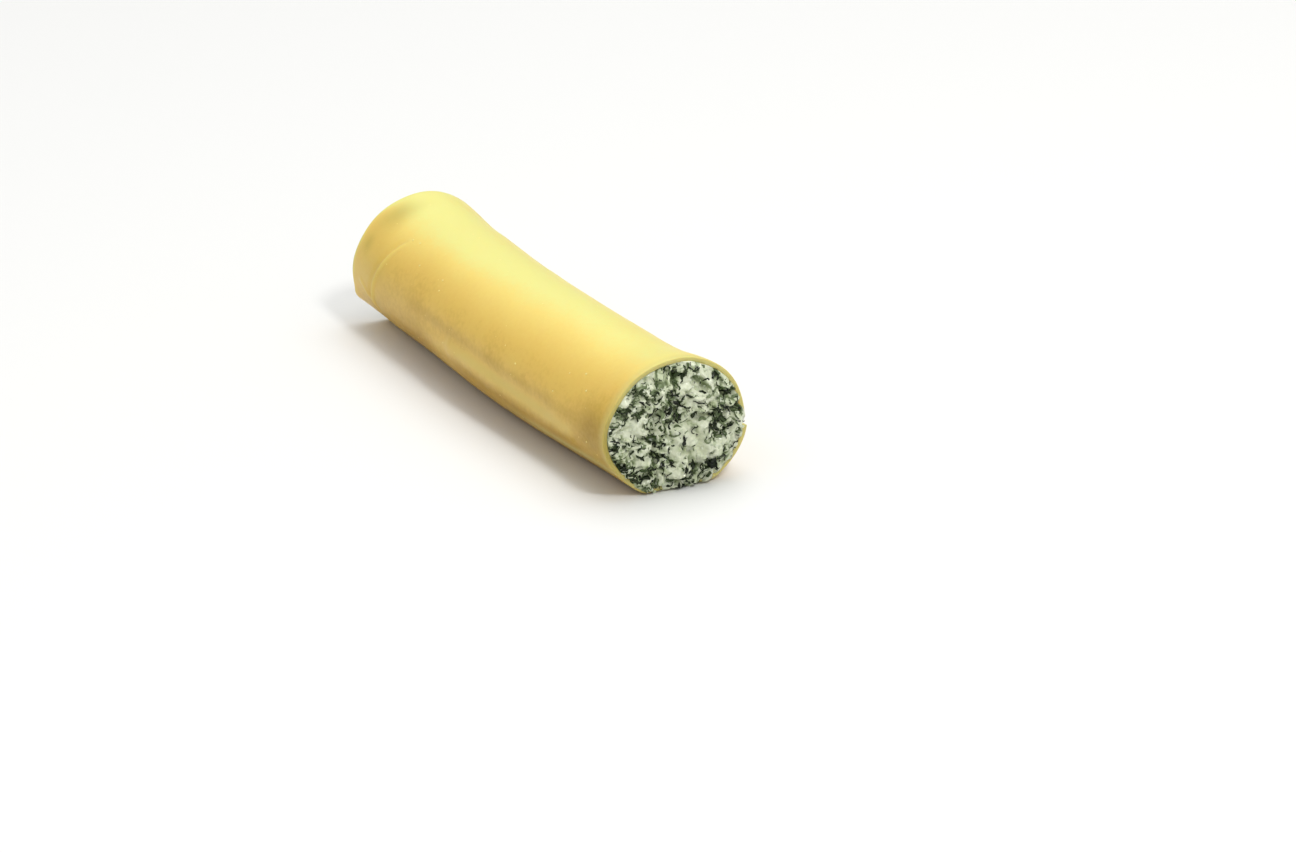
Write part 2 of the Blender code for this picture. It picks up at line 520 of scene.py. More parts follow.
@dataclass(frozen=True)
class FreshEggPasta:
    """Fresh egg dough, rolled out between smooth rollers."""

    # Satin and slightly translucent: deep yolk yellow, paler on top as painted light and darker underneath
    # as painted shade, with long bands of painted sheen and painted shade along the near side, and a dull
    # green where the filling lies close behind it
    moist_and_shaded: str = "#AE8608"
    golden: str = "#E1BD5E"
    upper: str = "#E9CF70"
    dry_and_lit: str = "#E2DC84"
    show_through: str = "#A2903A"
    cut_edge_and_painted_light: str = "#CBC176"
    blotch: float = 9.0  # mm from one cloud of colour to the next
    blotch_strength: float = 0.2
    fleck: float = 0.9  # mm: crumbs of yolk and semolina, drawn twice as coarse as they are, to show
    fleck_strength: float = 0.16
    grain: float = 0.45  # mm: drag lines of the rollers, really about 0.1 mm and drawn coarser, to show
    grain_stretch: float = 0.22  # their width as a share of their length
    grain_depth: float = 0.026
    surface: tuple[tuple[str, object], ...] = (
        ("Roughness", 0.42), ("IOR", 1.45), ("Specular IOR Level", 0.32),
        ("Coat Weight", 0.08), ("Coat Roughness", 0.32),
        ("Subsurface Weight", 0.25), ("Subsurface Radius", (2.0, 1.2, 0.4)), ("Subsurface Scale", MM),
    )

    def build(self) -> bpy.types.Material:
        """Make the material from the sheet's numbers: dryness and painted light, show-through, cut edge.

        Returns:
            The material.
        """
        material, tree, shader = new_material("fresh_egg_pasta_rolled")
        place = add_node(tree, "ShaderNodeTexCoord").outputs["Object"]
        shade, show, edge = (
            add_node(tree, "ShaderNodeAttribute", attribute_name=name).outputs["Fac"]
            for name in ("dry_and_lit", "show_through", "cut_edge_and_painted_light")
        )
        for size, detail, strength in (
            (self.blotch, 3.0, self.blotch_strength),
            (self.fleck, 2.0, self.fleck_strength),
        ):
            clouds = {"Vector": place, "Scale": 1.0 / (size * MM), "Detail": detail}
            mottle = add_node(tree, "ShaderNodeTexNoise", clouds).outputs["Fac"]
            terms = {0: mottle, 1: strength, 2: shade}
            shade = add_node(tree, "ShaderNodeMath", terms, operation="MULTIPLY_ADD").outputs[0]
        halfway = (self.blotch_strength + self.fleck_strength) / 2  # taken off, to keep the mean colour
        shade = add_node(tree, "ShaderNodeMath", {0: shade, 1: halfway}, operation="SUBTRACT").outputs[0]
        # From the darkest stop to the palest: moist dough with painted shade beneath, to dry dough with
        # painted light on top
        stops = ((0.0, self.moist_and_shaded), (0.3, self.golden), (0.7, self.upper), (1.0, self.dry_and_lit))
        dough = add_node(tree, "ShaderNodeValToRGB", {"Fac": shade}, stops=stops).outputs["Color"]
        # The cut edge's pale colour is also laid on as painted sheen and painted underside light
        for amount, tint in ((edge, self.cut_edge_and_painted_light), (show, self.show_through)):
            dough = add_node(
                tree, "ShaderNodeMix", {0: amount, 6: dough, 7: linear(tint)}, data_type="RGBA"
            ).outputs[2]
        stretch = {"Vector": place, "Scale": (self.grain_stretch, 1.0, 1.0)}
        drawn = add_node(tree, "ShaderNodeMapping", stretch).outputs[0]
        lines = {"Vector": drawn, "Scale": 1.0 / (self.grain * MM), "Detail": 3.0}
        drag = add_node(tree, "ShaderNodeTexNoise", lines).outputs["Fac"]
        depth = self.grain_depth * MM
        bump = add_node(tree, "ShaderNodeBump", {"Height": drag, "Distance": depth}).outputs[0]
        set_inputs(tree, shader, {"Base Color": dough, "Normal": bump, **dict(self.surface)})
        return material


@dataclass(frozen=True)
class MoistFood:
    """A moist food, mottled by a fine grain, whose colour follows a number that its mesh carries."""

    name: str
    reads: str  # the number's name
    stops: tuple[tuple[float, str], ...]
    grain: float  # mm
    grain_detail: float
    grain_strength: float  # how far the grain shifts the colour
    taken_off: float  # to keep the mean colour
    grain_depth: float  # mm
    surface: tuple[tuple[str, object], ...]

    def build(self) -> bpy.types.Material:
        """Make the material.

        Returns:
            The material.
        """
        material, tree, shader = new_material(self.name)
        place = add_node(tree, "ShaderNodeTexCoord").outputs["Object"]
        number = add_node(tree, "ShaderNodeAttribute", attribute_name=self.reads).outputs["Fac"]
        crumbs = {"Vector": place, "Scale": 1.0 / (self.grain * MM), "Detail": self.grain_detail}
        grain = add_node(tree, "ShaderNodeTexNoise", crumbs).outputs["Fac"]
        terms = {0: grain, 1: self.grain_strength, 2: number}
        shade = add_node(tree, "ShaderNodeMath", terms, operation="MULTIPLY_ADD").outputs[0]
        terms = {0: shade, 1: self.taken_off}
        shade = add_node(tree, "ShaderNodeMath", terms, operation="SUBTRACT").outputs[0]
        colour = add_node(tree, "ShaderNodeValToRGB", {"Fac": shade}, stops=self.stops).outputs["Color"]
        depth = self.grain_depth * MM
        bump = add_node(tree, "ShaderNodeBump", {"Height": grain, "Distance": depth}).outputs[0]
        set_inputs(tree, shader, {"Base Color": colour, "Normal": bump, **dict(self.surface)})
        return material


@dataclass(frozen=True)
class SpinachAndRicotta(MoistFood):
    """Cooked spinach chopped and stirred into ricotta."""

    # Moist and soft: pale grey-green cheese, stained and marbled by dark leaf, with a broken wet shine
    name: str = "spinach_and_ricotta_mixed"
    reads: str = "leaf"
    stops: tuple[tuple[float, str], ...] = (
        (0.08, "#DEE3C8"), (0.36, "#BAC49F"), (0.62, "#76855A"), (0.9, "#28330F"),
    )
    grain: float = 0.55  # the finest bits of leaf
    grain_detail: float = 3.0
    grain_strength: float = 0.44
    taken_off: float = 0.2
    grain_depth: float = 0.22
    surface: tuple[tuple[str, object], ...] = (
        ("Roughness", 0.34), ("IOR", 1.42), ("Specular IOR Level", 0.4),
        ("Coat Weight", 0.3), ("Coat Roughness", 0.08),
        ("Subsurface Weight", 0.1), ("Subsurface Radius", (1.2, 1.1, 0.8)), ("Subsurface Scale", MM),
    )


@dataclass(frozen=True)
class CookedSpinach(MoistFood):
    """Wilted, chopped spinach leaf."""

    # Nearly black where it is wet and bare, a dull green where cheese clings to it, with small sharp glints
    name: str = "cooked_spinach_wet"
    reads: str = "tone"
    stops: tuple[tuple[float, str], ...] = ((0.0, "#0B1204"), (0.55, "#364720"), (1.0, "#87966F"))
    grain: float = 0.35  # the net of veins
    grain_detail: float = 2.0
    grain_strength: float = 0.4
    taken_off: float = 0.2
    grain_depth: float = 0.05
    surface: tuple[tuple[str, object], ...] = (
        ("Roughness", 0.26), ("IOR", 1.38), ("Specular IOR Level", 0.3),
        ("Coat Weight", 0.2), ("Coat Roughness", 0.06),
    )


@dataclass(frozen=True)
class FreshRicotta(MoistFood):
    """Fresh ricotta, broken into curds."""

    # Soft off-white curds, faintly green from the spinach's water, which let a little light through
    name: str = "fresh_ricotta_curd"
    reads: str = "tone"
    stops: tuple[tuple[float, str], ...] = ((0.1, "#E0E6CC"), (0.9, "#BCC7A3"))
    grain: float = 0.4  # the crumb of the curd
    grain_detail: float = 2.0
    grain_strength: float = 0.5
    taken_off: float = 0.25
    grain_depth: float = 0.06
    surface: tuple[tuple[str, object], ...] = (
        ("Roughness", 0.34), ("IOR", 1.42),
        ("Subsurface Weight", 0.2), ("Subsurface Radius", (1.2, 1.1, 0.8)), ("Subsurface Scale", MM),
    )


@dataclass(frozen=True)
class WhiteLaminate:
    """Matt white laminate."""

    # An even, pale ground that mirrors nothing
    colour: str = "#E8E8E6"
    roughness: float = 0.6

    def build(self) -> bpy.types.Material:
        """Make the material.

        Returns:
            The material.
        """
        material, tree, shader = new_material("white_laminate_matt")
        set_inputs(tree, shader, {"Base Color": linear(self.colour), "Roughness": self.roughness})
        return material


# --- The pasta ---


@dataclass(frozen=True)
class Tint:
    """A soft patch of colour on the sheet."""

    place: float  # mm from the end that it is measured from
    reach: float  # mm along the roll
    angle: float  # degrees round the roll
    spread: float
    strength: float

    def at(self, from_end: Array, degrees: Array) -> Array:
        """Strength of the patch at points this far from its end and this far round the roll."""
        return self.strength * bell(from_end - self.place, self.reach) * self.round_it(degrees)

    def round_it(self, degrees: Array) -> Array:
        """How the patch dies away round the roll."""
        return lobe(degrees, self.angle, self.spread)


@dataclass(frozen=True)
class PaintedBand:
    """A long soft band along the sheet, painted paler as sheen where its strength is above 0 and darker as
    shade below.
    """

    angle: float  # degrees round the roll at `middle`
    drift: float  # degrees that it turns in each millimetre along the roll
    spread: float
    strength: float
    start: tuple[float, float]  # mm from the back end, between which it appears
    stop: tuple[float, float] = (-1.0, 0.0)  # mm from the cut end, between which it dies away
    middle: float = 51.0  # mm from the back end

    def at(self, from_back: Array, from_cut: Array, degrees: Array) -> Array:
        """Strength of the band.

        Args:
            from_back: millimetres from the back end.
            from_cut: millimetres from the cut end.
            degrees: angle round the roll.

        Returns:
            The strength at each point.
        """
        shown = ramp(*self.start, from_back) * ramp(*self.stop, from_cut)
        turned = degrees - self.angle - self.drift * (from_back - self.middle)
        return self.strength * shown * bell(turned, self.spread)


@dataclass(frozen=True)
class PastaSheet:
    """The sheet of dough, rolled once round the filling and lapped over itself underneath."""

    form: RollForm
    finish: FreshEggPasta = FreshEggPasta()
    mean_radius: float = 13.3
    skin_radius: float = 13.0  # of the plain tube that its unevenness is read on
    edge_round: float = 0.28  # the cut edges are slightly rounded
    rim_steps: int = 6
    fine_step: float = 0.3  # mm between points at the flared ends
    step: float = 0.62  # and between them
    step_round: float = 0.43
    calm: tuple[float, float] = (16.0, 98.0)  # mm from the back end, between the flares
    creases: tuple[Crease, ...] = (
        Crease(
            ((-35.5, 122.0), (-37.5, 138.0), (-39.4, 157.0), (-40.9, 176.0), (-42.0, 196.0),
             (-40.6, 209.0)),
            width=0.42, height=0.42, flank=1.3,
        ),
        Crease(((-48.2, 181.0), (-46.0, 186.4), (-44.2, 192.4), (-42.6, 200.0)), width=0.45, height=0.26),
        Crease(
            ((-24.0, 177.0), (-12.0, 175.5), (-2.0, 175.0), (8.0, 178.0), (16.0, 180.5), (25.0, 180.0),
             (34.0, 177.5)),
            width=1.7, height=-0.35, fade=0.15,
        ),
        Crease(
            ((39.5, 196.0), (26.0, 195.0), (16.0, 193.5), (8.0, 190.5), (0.0, 187.0), (-10.0, 183.5)),
            width=2.0, height=0.34, fade=0.05,
        ),
        Crease(((29.0, 163.2), (30.4, 163.9), (32.0, 164.0)), width=0.3, height=0.05),
    )
    sharp: float = 0.6  # creases narrower than this have a painted highlight along their crest
    crest_highlight: float = 0.9  # of the painted highlight along a crest, in each millimetre of its height
    sag: Noise = Noise(11, 17.0, 0.12)  # slow unevenness of soft dough
    sag_stretch: tuple[float, float, float] = (0.7, 1.0, 1.0)
    ripple: Noise = Noise(12, 4.5, 0.04)
    stray: Noise = Noise(13, 13.0, 2.6)  # degrees that the free edge wanders
    stray_reach: float = 25.0  # degrees of the sheet that wander with it
    settled_spread: float = 34.0  # degrees of the underside that the table presses smooth

    dryness: float = 0.3  # of the sheet's sides
    crown_light: float = 0.74  # how much paler its top is painted, as light falling on it
    crown_fall: float = 0.12  # and how much less so beyond mid-length
    crown_falls: tuple[float, float] = (42.0, 90.0)  # mm from the back end, over which it gets so
    crown_edge: tuple[float, float] = (60.0, 1.0)  # degrees from the top, between which the painted light on top comes in
    crown_stray: Noise = Noise(21, 14.0, 7.0)  # degrees that this wanders
    underside_shade: float = 0.3  # how much darker its underside is painted, as shade
    under_edge: tuple[float, float] = (88.0, 128.0)  # degrees from the top, between which it starts
    far_side: float = 0.55  # how fast the painted light turns to painted shade on the +Y side, compared with the other
    lip: tuple[float, float] = (0.45, 0.9)  # extra dryness of the back lip, and its reach in mm
    lip_side: tuple[float, float] = (0.2, 9.0)
    lip_side_edge: tuple[float, float] = (125.0, 155.0)  # degrees round, between which it starts
    # Darker patches on the near side, by the cut end and behind it
    darker_at_cut: Tint = Tint(5.5, 6.5, 176.0, 18.0, -0.27)
    darker_behind: Tint = Tint(32.0, 16.0, 178.0, 20.0, -0.06)
    # Painted shade above the groove and lower down, painted sheen below it, painted light under the cut end
    painted_shade_line: PaintedBand = PaintedBand(170.0, 0.1, 6.0, -0.10, (20.0, 34.0), (9.0, 17.0))
    painted_sheen: PaintedBand = PaintedBand(182.5, 0.14, 5.5, 0.14, (38.0, 52.0), (11.0, 14.0))
    low_painted_shade: PaintedBand = PaintedBand(197.0, 0.0, 7.0, -0.09, (20.0, 34.0), (9.0, 17.0))
    painted_underside_light: PaintedBand = PaintedBand(211.0, 0.0, 6.0, 0.7, (52.0, 86.0))
    sheen_paleness: float = 2.0  # how much of the cut edge's colour the painted sheen takes on
    stain_at_lip: Tint = Tint(4.4, 3.0, 117.0, 18.0, 0.5)
    lip_ragged: float = 1.2  # mm by which its edge wanders
    stain_below: Tint = Tint(3.6, 1.6, 150.0, 8.0, 0.34)
    stain_behind: Tint = Tint(9.5, 4.0, 176.0, 26.0, 0.2)
    stain_at_cut: Tint = Tint(4.4, 4.2, 186.0, 34.0, 0.25)
    stain_on_rim: Tint = Tint(0.0, 1.0, 185.0, 38.0, 0.7)
    rim_depth: tuple[float, float] = (2.0, 1.0)  # mm from the cut end, between which the rim starts
    patches: Noise = Noise(22, 4.0)  # the stains are patchy
    patchiness: float = 0.75
    rounded: float = 0.22  # mm of rounding that shows as a fully cut edge
    behind_cut: tuple[float, float] = (0.6, 1.4)  # the cut's paleness on the faces, and its reach in mm

    @property
    def arc(self) -> float:
        """Millimetres round the roll in one degree."""
        return math.radians(self.mean_radius)

    def relief(self, along: Array, degrees: Array) -> Array:
        """Height of the soft sheet above its plain form.

        Args:
            along: -0.5 at the back end to 0.5 at the cut end.
            degrees: angle round the roll.

        Returns:
            Heights in millimetres.
        """
        distance = along * self.form.length
        skin = self.skin(distance, degrees)
        height = self.sag.at(skin * self.sag_stretch) + self.ripple.at(skin)
        for crease in self.creases:
            height += crease.relief(distance, degrees, self.arc)
        rests = lobe(degrees, 270.0, self.settled_spread)
        return height * (1.0 - rests)

    def skin(self, distance: Array, degrees: Array) -> Array:
        """Places on a plain tube, to read unevenness at.

        Args:
            distance: millimetres along it.
            degrees: angle round it.

        Returns:
            The places in millimetres.
        """
        angle = np.radians(degrees)
        across, up = self.skin_radius * np.cos(angle), self.skin_radius * np.sin(angle)
        return np.stack([distance, across, up], axis=-1)

    def edge_retreat(self, from_edge: Array) -> Array:
        """How far a face draws back from its plane this near to a rounded edge."""
        inwards = np.clip(self.edge_round - from_edge, 0.0, self.edge_round)
        return self.edge_round - np.sqrt(self.edge_round**2 - inwards**2)

    def build(self) -> bpy.types.Object:
        """Build the sheet as a closed shell: an outer face, an inner face and four narrow edges.

        Returns:
            The sheet.
        """
        form, length = self.form, self.form.length
        rim = self.edge_round * (1.0 - np.cos(np.linspace(0.0, math.pi / 2, self.rim_steps)))
        start, stop = self.calm
        stretches = spaced(
            (0.6, start, self.fine_step), (start, stop, self.step), (stop, length - 0.6, self.fine_step)
        )
        from_back = np.concatenate([rim, stretches, length - rim[::-1]])
        lap_length = (form.free_edge - form.tucked_edge) * self.arc
        middle = spaced((0.7, lap_length - 0.7, self.step_round))
        from_tucked = np.concatenate([rim, middle, lap_length - rim[::-1]])
        along, degrees = np.meshgrid(
            from_back / length - 0.5, form.tucked_edge + from_tucked / self.arc, indexing="ij"
        )
        stray = self.stray.at(np.stack([along * length, 0.0 * along, 0.0 * along], axis=-1))
        degrees = degrees + stray * ramp(form.free_edge - self.stray_reach, form.free_edge, degrees)
        to_end = np.minimum(from_back, length - from_back)[:, None]
        to_edge = np.minimum(from_tucked, lap_length - from_tucked)[None, :]
        retreat = np.maximum(self.edge_retreat(to_end), self.edge_retreat(to_edge))
        outer_inset = form.layer_inset(degrees) - self.relief(along, degrees)
        wave = form.edge_wave(degrees) * np.abs(2.0 * along) ** form.edge_reach
        sides = []
        for inset in (outer_inset + retreat, outer_inset + form.sheet - retreat):
            side = form.place(along, degrees, inset)
            side[..., 0] += wave
            sides.append(side)
        faces = self.shell(*along.shape)
        piece = mesh_piece("pasta_roll", np.stack(sides), faces, self.finish.build())
        self.dress(piece, along, degrees, retreat)
        join_frame(piece, Node.SHEET)
        return piece

    def shell(self, rows: int, columns: int) -> Array:
        """Quads over two grids, one behind the other, and round their border.

        Args:
            rows: rows of vertices in each grid.
            columns: columns of them.

        Returns:
            The quads, which look outwards.
        """
        outer = grid_faces(rows, columns)
        inner = outer[:, ::-1] + rows * columns
        border = np.concatenate([
            np.arange(columns),
            np.arange(1, rows) * columns + columns - 1,
            (rows - 1) * columns + np.arange(columns - 2, -1, -1),
            np.arange(rows - 2, 0, -1) * columns,
        ])
        following = np.roll(border, -1)
        behind = rows * columns
        edges = np.stack([following, border, border + behind, following + behind], axis=1)
        return np.concatenate([outer, inner, edges])[:, ::-1]

    def dress(self, piece: bpy.types.Object, along: Array, degrees: Array, retreat: Array) -> None:
        """Mark the dough's dryness with painted light and shade, where the filling shows through, and its
        cut edge.

        Args:
            piece: the sheet.
            along: the grid's places along the roll.
            degrees: its angles.
            retreat: how far each point lies into a rounded edge.
        """
        from_back, from_cut = (0.5 + along) * self.form.length, (0.5 - along) * self.form.length
        places = (from_back, from_cut, degrees)
        skin = self.skin(from_back, degrees)
        # A painted sheen along the near side, below the groove
        sheen = self.painted_sheen.at(*places)

        # The top is painted paler, as light falling on it, and the underside darker, as shade
        from_top = (degrees + self.crown_stray.at(skin) + 90.0) % 360.0 - 180.0
        round_top = np.where(from_top < 0.0, -self.far_side * from_top, from_top)
        crown_light = self.crown_light - self.crown_fall * ramp(*self.crown_falls, from_back)
        dry_and_lit = self.dryness + crown_light * ramp(*self.crown_edge, round_top)
        dry_and_lit = dry_and_lit - self.underside_shade * ramp(*self.under_edge, round_top)
        dry_and_lit = dry_and_lit + self.lip[0] * bell(from_back, self.lip[1])
        side = ramp(*self.lip_side_edge, degrees)
        dry_and_lit = dry_and_lit + self.lip_side[0] * bell(from_back, self.lip_side[1]) * side
        dry_and_lit = dry_and_lit + self.darker_at_cut.at(from_cut, degrees) + self.darker_behind.at(from_back, degrees)
        # Long bands of painted shade and painted sheen along the near side
        dry_and_lit = dry_and_lit + self.painted_shade_line.at(*places) + sheen + self.low_painted_shade.at(*places)
        # Sharp creases get a painted highlight along their crest
        for crease in self.creases:
            if crease.width < self.sharp:
                crest = crease.relief(along * self.form.length, degrees, self.arc)
                dry_and_lit = dry_and_lit + self.crest_highlight * np.maximum(crest, 0.0)

        patch = self.patches.at(skin)
        show = self.stain_at_lip.at(from_back - self.lip_ragged * patch, degrees)
        show = show + self.stain_below.at(from_back, degrees)
        show = show + (1.0 + self.patchiness * patch) * self.stain_behind.at(from_back, degrees)
        show = show + self.stain_at_cut.at(from_cut, degrees)
        rounded = ramp(0.0, self.rounded, retreat)
        rim = self.stain_on_rim
        near_cut = ramp(*self.rim_depth, from_cut)
        show = show + rim.strength * rim.round_it(degrees) * rounded * near_cut

        paleness, reach = self.behind_cut
        edge = np.maximum(rounded, paleness * bell(from_cut, reach))
        # The cut edge's pale colour also stands for painted light on the underside by the cut end, and for
        # the painted sheen
        edge = np.maximum(edge, self.painted_underside_light.at(*places))
        edge = np.maximum(edge, self.sheen_paleness * sheen)
        for name, values in (("dry_and_lit", dry_and_lit), ("show_through", show), ("cut_edge_and_painted_light", edge)):
            mark(piece, name, np.stack([values, values]))


@dataclass(frozen=True)
class SemolinaGrains:
    """Coarse grains of the flour that stand out of the sheet here and there."""

    form: RollForm
    finish: FreshEggPasta = FreshEggPasta(
        moist_and_shaded="#E0BE70", golden="#EBCB7C", upper="#F6E08C", dry_and_lit="#F9EEA0"
    )
    count: int = 110
    smallest: float = 0.05
    largest: float = 0.15
    clear_size: float = 1.25  # of the clearest ones, as a share of the largest
    mostly_small: int = 3  # the higher, the fewer large ones
    lengthwise: tuple[float, float] = (-0.47, 0.47)
    sideways: tuple[float, float] = (-10.0, 235.0)  # degrees round, where they can be seen
    # Millimetres along from mid-length, and degrees round
    clearest: tuple[tuple[float, float], ...] = (
        (-35.9, 123.7), (-33.4, 122.2), (-27.6, 137.2), (-17.7, 136.1), (-16.6, 144.8), (16.6, 159.8),
        (30.8, 162.7), (33.2, 143.0), (37.6, 136.8), (40.7, 148.5), (44.3, 188.2),
    )

    def build(self) -> bpy.types.Object:
        """Build all the grains as one mesh of flattened balls, sunk to half their height.

        Returns:
            The grains.
        """
        rng = np.random.default_rng(31)
        along = rng.uniform(*self.lengthwise, self.count)
        degrees = rng.uniform(*self.sideways, self.count)
        size = rng.random(self.count) ** self.mostly_small
        radius = self.smallest + (self.largest - self.smallest) * size
        clear = np.array(self.clearest)
        along = np.concatenate([along, clear[:, 0] / self.form.length])
        degrees = np.concatenate([degrees, clear[:, 1]])
        radius = np.concatenate([radius, np.full(len(clear), self.largest * self.clear_size)])
        inset = self.form.layer_inset(degrees) - PastaSheet(self.form).relief(along, degrees)
        middle = self.form.place(along, degrees, inset)
        out = middle - self.form.place(along, degrees, inset + 1.0)
        points, faces = scattered_balls(rng, middle, out, radius, flatness=0.55, roughness=0.25)
        piece = mesh_piece("semolina_grains", points, faces, self.finish.build())
        for name, value in (("dry_and_lit", 0.8), ("show_through", 0.0), ("cut_edge_and_painted_light", 0.0)):
            mark(piece, name, np.full(len(points.reshape(-1, 3)), value))
        join_frame(piece)
        return piece


def scattered_balls(
    rng: Generator, middle: Array, out: Array, radius: Array, flatness: float, roughness: float
) -> tuple[Array, Array]:
    """Lumpy balls, each flattened towards the surface that it lies on.

    Args:
        rng: where the lumps are drawn from.
        middle: the balls' middles in millimetres.
        out: the direction out of the surface at each.
        radius: the balls' radii.
        flatness: their height as a share of their width.
        roughness: depth of the lumps as a share of the radius.

    Returns:
        The points and the triangles.
    """
    cage = bpy.data.meshes.new("ball")
    ball = bmesh.new()
    bmesh.ops.create_icosphere(ball, subdivisions=2, radius=1.0)
    ball.to_mesh(cage)
    ball.free()
    shell = np.array([corner.co for corner in cage.vertices])
    triangles = np.array([list(face.vertices) for face in cage.polygons])
    bpy.data.meshes.remove(cage)
    count = len(middle)
    out = unit(out)
    aside = unit(np.cross(out, rng.normal(size=(count, 3))))
    third = np.cross(out, aside)
    long = rng.uniform(0.75, 1.35, count)
    lumps = 1.0 + roughness * rng.uniform(-1.0, 1.0, (count, len(shell)))
    local = shell[None] * lumps[..., None] * radius[:, None, None]
    points = middle[:, None] + local[..., 0:1] * (aside * long[:, None])[:, None]
    points = points + local[..., 1:2] * third[:, None] + local[..., 2:3] * flatness * out[:, None]
    faces = triangles[None] + (np.arange(count) * len(shell))[:, None, None]
    return points, faces.reshape(-1, 3)


# --- The filling ---


@dataclass(frozen=True)
class Clump:
    """A patch of the cut face with more leaf in it, or more cheese where its strength is below 0."""

    across: float  # mm from the middle towards +Y
    up: float
    reach: float
    strength: float


@dataclass(frozen=True)
class Filling:
    """The stuffing: a moist core, with shreds of leaf and curds of cheese at both of its bare faces."""

    form: RollForm
    finish: SpinachAndRicotta = SpinachAndRicotta()
    fineness: int = 150  # points across each bare face
    bulge: float = 1.3
    recess: float = 2.6
    overlap: float = 0.05  # how far it reaches into the pasta, so that no gap shows
    gathers: tuple[Noise, ...] = (Noise(46, 2.2, 0.45), Noise(38, 1.1, 0.55))
    back_patches: Noise = Noise(47, 5.5, 0.6)
    back_leafiness: float = 0.05
    clump_weight: float = 0.42
    # Seeds for X, Y and Z, how far the spoon moved things, and over what distance, in millimetres
    stirring: tuple[tuple[tuple[int, int, int], float, float], ...] = (
        ((41, 42, 43), 1.5, 3.2),
        ((48, 49, 50), 0.35, 1.1),
    )
    thread_weight: float = 0.52
    folds: Noise = Noise(44, 1.9)  # a thin dark leaf edge runs where this crosses 0
    fine_folds: Noise = Noise(45, 1.2)
    breaks: Noise = Noise(56, 1.3)  # and is broken off where this is low
    patch_weight: float = 0.42
    bits: Noise = Noise(40, 0.8, 0.9)
    veil_weight: float = 0.32  # of the green that the leaf's water gives the cheese
    tinge: Noise = Noise(39, 0.9, 0.7)
    # Angle, spread of angles, and millimetres that it spreads out over the cut rim there
    spills: tuple[tuple[float, float, float], ...] = (
        (262.0, 40.0, 0.95), (332.0, 38.0, 1.0), (78.0, 9.0, 0.35),
    )
    lip: tuple[float, float, float] = (0.75, 0.6, 0.12)  # its swell for each mm of spill, most, and sink
    ragged: Noise = Noise(51, 1.6, 0.5)  # unevenness of its spill over the rim
    ragged_radius: float = 9.0
    lumps: tuple[Noise, ...] = (Noise(52, 4.5, 0.4), Noise(55, 0.5, 0.26))
    stirred_lumps: tuple[Noise, ...] = (Noise(53, 2.2, 1.4), Noise(54, 1.0, 0.9))
    thread_sink: float = 0.4  # mm that a leaf's thin edge lies below the cheese
    leaf_sink: float = 0.2
    # Start and stop of the plain side, as shares of the length, the first of them past the recess
    hidden: tuple[float, float] = (-0.485, 0.494)
    hidden_rings: int = 16
    hidden_leaf: float = 0.4
    clumps: tuple[Clump, ...] = tuple(Clump(*row) for row in (
        (0.1, 11.6, 1.8, 0.9), (-2.4, 9.6, 2.4, 1.1), (-8.3, 8.0, 2.0, 0.9), (-11.6, 5.4, 1.8, 0.9),
        (-2.3, 4.4, 2.6, 0.8), (8.8, 2.6, 1.6, 0.8), (12.6, 1.4, 1.6, 0.8), (8.6, 7.2, 2.0, 0.6),
        (-12.2, -1.0, 1.8, 0.9), (-10.0, -5.0, 1.8, 0.8), (-7.9, -9.4, 2.4, 1.0), (-6.5, 0.4, 1.2, 0.9),
        (1.7, -7.9, 1.5, 0.8), (8.9, -6.3, 1.6, 0.6), (-3.0, -3.6, 1.6, 0.4), (4.5, -11.6, 2.0, 0.7),
        (-12.0, 2.7, 1.7, -0.9), (-9.2, 3.3, 1.4, -0.8), (4.0, 8.4, 2.8, -0.9), (4.8, 3.6, 1.8, -0.8),
        (-5.2, 7.0, 1.6, -0.8), (5.2, -0.8, 2.2, -0.6), (-4.6, 1.6, 1.4, -0.5), (-1.0, -7.2, 1.4, -0.6),
        (3.2, -5.6, 1.8, -0.6), (-7.6, -1.6, 1.2, -0.5),
    ))

    def gathering(self, points: Array, end: End) -> Array:
        """Where the leaves have gathered: above 0 in a clump of leaf, below 0 in clean cheese.

        Args:
            points: places on the face, in millimetres.
            end: which face they are on.

        Returns:
            The strength at each place.
        """
        stirred = self.stirred(points)
        gathered = sum(layer.at(stirred) for layer in self.gathers)
        if end is End.BACK:
            return gathered + self.back_patches.at(points) + self.back_leafiness
        middle_y, middle_z = self.form.shift[1], self.form.height / 2 - self.form.rest_depth
        for clump in self.clumps:
            across = points[..., 1] - middle_y - clump.across
            away = np.hypot(across, points[..., 2] - middle_z - clump.up)
            gathered = gathered + self.clump_weight * clump.strength * bell(away, clump.reach)
        return gathered

    def stirred(self, points: Array) -> Array:
        """Trace places back to where they were before the filling was stirred.

        Args:
            points: places in millimetres.

        Returns:
            Where they were.
        """
        before = points
        for seeds, moved, size in self.stirring:
            drift = np.stack([Noise(seed, size).at(points) for seed in seeds], axis=-1)
            before = before + moved * drift
        return before

